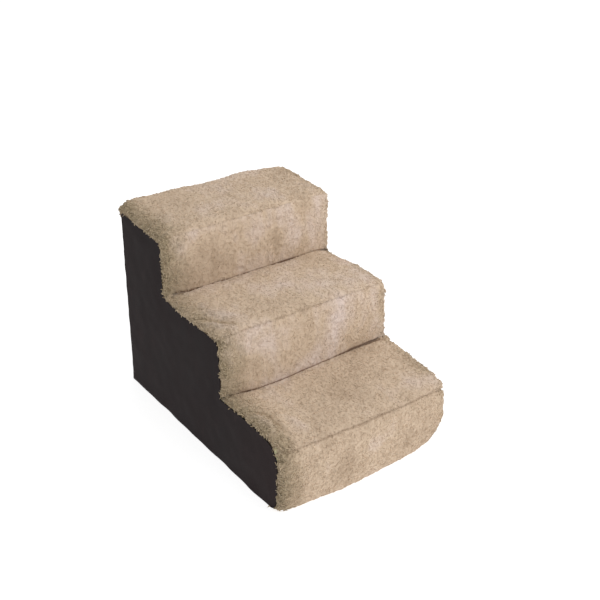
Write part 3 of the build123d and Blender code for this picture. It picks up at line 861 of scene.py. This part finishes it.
def makeBack(name, node, low, high, rows, v):       # a panel of the back, cut round the zip's slot
    half = stairs["halfWidth"]
    base = np.linspace(-half, half, v["columns"] + 1)
    slots = [sign * (v["slotHalfLength"] - step) for sign in (-1, 1) for step in v["slotSteps"]]
    across = np.array(sorted(set(np.round(np.concatenate((base, slots)), 3))))
    bm = bmesh.new()
    bmesh.ops.create_grid(bm, x_segments=len(across) - 1, y_segments=rows, size=1)
    for index, vert in enumerate(bm.verts):
        j, i = divmod(index, len(across))
        x = across[i]
        slot = slotEdge(x, v)
        bottom = low + slot if low == v["zipHeight"] else low
        top = high - slot if high == v["zipHeight"] else high
        z = bottom + (top - bottom) * j / rows
        away = min(half - abs(x), max(abs(z - v["zipHeight"]) - v["zipGap"], 0))
        uneven = 0.8 + 0.4 * noise.noise(Vector((x, z, 0)) / v["puffSize"])
        puff = v["puff"] * float(smooth(away, 0, v["puffWidth"])) * uneven
        puff += v["ripple"] * float(smooth(away, 0, 20)) * noise.noise(Vector((x, z, 8)) / v["rippleSize"])
        y = stairs["back"] + v["thickness"] + puff
        rolled = v["rollWidth"] - half + abs(x)
        if rolled > 0:       # the seam with the side rolls in
            y -= rolled ** 2 * 0.25
        vert.co = Vector((x, y, z)) * mm
    piece = finishPiece(name, bm, suede, "stairs", [node])
    if sum(p.normal.y * p.area for p in piece.data.polygons) < 0:
        piece.data.flip_normals()
    addWall(piece, v["thickness"])
    return piece


seamHeight, backTop = backValues["zipHeight"], stairs["top"] - backValues["topWrap"]
makeBack("back_suede", "back_panel", seamHeight, backTop, backValues["rows"], backValues)
makeBack("back_hem_suede", "back_hem_panel", stairs["base"], seamHeight, backValues["hemRows"], backValues)
print("suede: back and hem made")


baseValues = {
    "footDepth": 30, "columns": 70, "rows": 90, "thickness": 1.0, "inset": 1.4,
    "ripple": 0.35, "rippleSize": 22,
}
foamValues = {
    "round": 5, "nosingRound": 20, "sharpest": 55, "longest": 40, "nosingZone": 9, "farInset": 5,
    "farInsetFrom": (150, 180),
}
clothColours = {
    "base": (0.018, 0.018, 0.020), "baseDot": (0.034, 0.033, 0.035),
    "tape": (0.022, 0.019, 0.020), "tapeRib": (0.048, 0.042, 0.042), "thread": (0.050, 0.040, 0.038),
    "foam": (0.62, 0.55, 0.36), "foamCell": (0.44, 0.37, 0.21), "rubber": (0.030, 0.030, 0.032),
}


def makeBaseCloth(v):
    f = Finish("baseCloth", 0.9, specular=0.2)
    dots = f.spread(f.cells(260), 0.25, 0.5)
    weave = f.sums("MULTIPLY", f.waves(420, "X"), f.waves(420, "Y"))
    f.colour(f.mix(f.sums("MULTIPLY", dots, weave), v["base"], v["baseDot"]))
    f.normal(f.bump(weave, 0.0003, 0.6, f.bump(dots, 0.0004, 0.5)))
    return f.material


def makeFoam(v):
    f = Finish("openCellFoam", 0.95, specular=0.1)
    f.shader.inputs["Subsurface Weight"].default_value = 0.15
    f.shader.inputs["Subsurface Scale"].default_value = 0.004
    small, large = f.cells(900), f.cells(380)
    pores = f.sums("MULTIPLY", f.spread(small, 0.1, 0.6), f.spread(large, 0.05, 0.5))
    aged = f.noise(9, 3, 0.6)
    tone = f.mix(pores, v["foamCell"], v["foam"])
    f.colour(f.mix(f.spread(aged, 0.4, 0.7, 0, 0.3), tone, v["foamCell"]))
    f.normal(f.bump(pores, 0.0009, 0.7))
    return f.material


def makeTape(v):
    f = Finish("zipTape", 0.85, sheen=0.1, specular=0.2)
    ribs = f.waves(520, "DIAGONAL", 0.4)
    fine = f.noise(1500, 2)
    tone = f.mix(ribs, v["tape"], v["tapeRib"])
    f.colour(f.mix(1.0, tone, f.spread(fine, 0.3, 0.7, 0.8, 1.2), "MULTIPLY"))
    f.normal(f.bump(ribs, 0.00025, 0.7))
    return f.material


def makeThread(v):
    f = Finish("stitchThread", 0.6, sheen=0.2, specular=0.4)
    twist = f.waves(1400, "DIAGONAL", 0.5)
    f.colour(f.mix(twist, v["thread"], tuple(c * 1.8 for c in v["thread"])))
    f.normal(f.bump(twist, 0.00015, 0.6))
    return f.material


def makeTeeth():
    f = Finish("mouldedTeeth", 0.42, specular=0.5)
    grain = f.noise(700, 3, 0.6)
    f.colour(f.mix(grain, (0.014, 0.013, 0.013), (0.030, 0.027, 0.027)))
    f.rough(f.spread(grain, 0.3, 0.7, 0.34, 0.52))
    f.normal(f.bump(grain, 0.0001, 0.4))
    return f.material


def makeMetal():
    f = Finish("zipMetal", 0.32, metallic=1.0)
    wear, brush = f.noise(160, 4, 0.65), f.noise(900, 2, 0.6, stretch=(0.2, 1, 1))
    f.colour(f.mix(f.spread(wear, 0.35, 0.65), (0.10, 0.095, 0.092), (0.21, 0.20, 0.19)))
    f.rough(f.spread(brush, 0.3, 0.7, 0.24, 0.44))
    f.normal(f.bump(brush, 0.00008, 0.4))
    return f.material


def makeRubber(v):
    f = Finish("gripRubber", 0.7, specular=0.35)
    grain = f.noise(800, 3, 0.6)
    f.colour(f.mix(grain, v["rubber"], tuple(c * 1.7 for c in v["rubber"])))
    f.rough(f.spread(grain, 0.3, 0.7, 0.6, 0.8))
    f.normal(f.bump(grain, 0.0002, 0.5))
    return f.material


baseCloth, foam = makeBaseCloth(clothColours), makeFoam(clothColours)
tape, thread = makeTape(clothColours), makeThread(clothColours)
teeth, metal, rubber = makeTeeth(), makeMetal(), makeRubber(clothColours)
print("materials: suede, base, foam and zip made")


def makeBase(v):       # the cloth under the stairs, with a slight ripple between its dots
    half = stairs["halfWidth"] - v["inset"]
    front, back = stairs["front"] + v["footDepth"], stairs["back"] - v["inset"]
    bm = bmesh.new()
    bmesh.ops.create_grid(bm, x_segments=v["columns"], y_segments=v["rows"], size=1)
    for vert in bm.verts:
        x, y = vert.co.x * half, front + (vert.co.y + 1) / 2 * (back - front)
        rise = abs(noise.noise(Vector((x, y, 0)) / v["rippleSize"])) * v["ripple"]
        vert.co = Vector(settled((x, y, stairs["base"] + rise))) * mm
    piece = finishPiece("base_cloth", bm, baseCloth, "stairs", ["base_panel"])
    if sum(p.normal.z * p.area for p in piece.data.polygons) > 0:
        piece.data.flip_normals()
    addWall(piece, v["thickness"])


makeBase(baseValues)


def makeSlab(node, v):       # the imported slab's mesh, merged, with its long sharp edges softened
    bm = bmesh.new()
    bm.from_mesh(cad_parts[node].data)
    bmesh.ops.remove_doubles(bm, verts=bm.verts, dist=1e-6)
    bmesh.ops.dissolve_limit(bm, angle_limit=math.radians(2), verts=bm.verts, edges=bm.edges)
    front = min(vert.co.y for vert in bm.verts) + v["nosingZone"] * mm
    top = max(vert.co.z for vert in bm.verts) - v["nosingZone"] * mm
    for radius, segments, onNosing in ((v["nosingRound"], 5, True), (v["round"], 2, False)):
        bm.normal_update()
        sharp = [e for e in bm.edges if len(e.link_faces) == 2 and e.calc_length() > v["longest"] * mm
                 and e.calc_face_angle() > math.radians(v["sharpest"])
                 and all(vert.co.y < front and vert.co.z > top for vert in e.verts) == onNosing]
        bmesh.ops.bevel(bm, geom=sharp, offset=radius * mm, offset_type="OFFSET", segments=segments,
                        profile=0.5, affect="EDGES", clamp_overlap=True, material=-1)
    bmesh.ops.triangulate(bm, faces=bm.faces)
    for vert in bm.verts:
        x, y, z = vert.co / mm
        inset = v["farInset"] * float(smooth(x, *v["farInsetFrom"]))
        vert.co = Vector(settled((x - inset, y, z))) * mm
    slab = finishPiece(node.replace("_slab", "_block"), bm, foam, "stairs", [node], False)


for node in ("foam_lower_slab", "foam_middle_slab", "foam_upper_slab"):
    makeSlab(node, foamValues)
print("foam: three slabs made")

stitchValues = {"pitch": 3.4, "length": 2.5, "thick": 0.45, "high": 0.32, "stand": 0.12}
stitchRows = [       # (height, from x, to x) on the back, along the zip and above the hem
    (57.2, -176, 176), (38.8, -176, 176), (59.6, -176, 176), (8.0, -184, 184),
]


def makeStitches(v):
    bm = bmesh.new()
    face = stairs["back"] + backValues["thickness"]
    for height, low, high in stitchRows:
        for k in range(int((high - low) / v["pitch"])):
            x = low + (k + 0.5) * v["pitch"]
            place = Matrix.Translation(Vector((x, face + v["stand"], height)) * mm)
            shape = Matrix.Diagonal((v["length"] / 2 * mm, v["high"] * mm, v["thick"] / 2 * mm, 1))
            bmesh.ops.create_icosphere(bm, subdivisions=1, radius=1, matrix=place @ shape)
    finishPiece("zip_stitches", bm, thread, "stairs")


makeStitches(stitchValues)
for node, material in (
    ("zipper_upper_tape", tape), ("zipper_lower_tape", tape), ("zipper_upper_teeth", teeth),
    ("zipper_lower_teeth", teeth), ("zipper_top_stops", teeth), ("zipper_bottom_stop", teeth),
    ("zipper_slider", metal), ("zipper_pull", metal), ("grip_dots", rubber),
):
    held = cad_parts[node]
    held.data.materials.clear()
    held.data.materials.append(material)
print("zip: finished")


stageValues = {
    "floorSize": 9, "floorColour": (0.5, 0.5, 0.5), "floorGlow": 0.8,
    "airColour": (1.0, 1.0, 1.0), "airStrength": 0.46,
    "lamps": [
        ("keyLamp", (1.9, -2.4, 2.3), 1.4, 62, (1.0, 0.98, 0.97)),
        ("fillLamp", (-2.0, -2.4, 1.6), 2.0, 4, (1.0, 1.0, 1.0)),
        ("topLamp", (0.4, 0.2, 3.0), 2.4, 24, (1.0, 1.0, 1.0)),
    ],
}


def makeStage(v):
    bm = bmesh.new()
    bmesh.ops.create_grid(bm, x_segments=1, y_segments=1, size=v["floorSize"] / 2)
    mesh = bpy.data.meshes.new("studioFloor")
    bm.to_mesh(mesh)
    bm.free()
    floor = bpy.data.objects.new("studioFloor", mesh)
    bpy.context.scene.collection.objects.link(floor)
    f = Finish("paleFloor", 0.9, specular=0.1)
    f.colour(v["floorColour"])
    f.shader.inputs["Emission Color"].default_value = (1, 1, 1, 1)
    f.shader.inputs["Emission Strength"].default_value = v["floorGlow"]
    mesh.materials.append(f.material)
    air = bpy.data.worlds.new("studioAir")
    bpy.context.scene.world = air
    air.use_nodes = True
    background = air.node_tree.nodes["Background"]
    background.inputs["Color"].default_value = (*v["airColour"], 1)
    background.inputs["Strength"].default_value = v["airStrength"]
    for name, place, size, power, colour in v["lamps"]:
        lamp = bpy.data.lights.new(name, "AREA")
        lamp.size, lamp.energy, lamp.color = size, power, colour
        holder = bpy.data.objects.new(name, lamp)
        holder.location = place
        holder.rotation_euler = (Vector((0, 0, 0.2)) - Vector(place)).to_track_quat("-Z", "Y").to_euler()
        bpy.context.scene.collection.objects.link(holder)


makeStage(stageValues)
bpy.context.scene.view_settings.view_transform = "Standard"
print("stage: floor and lamps made")
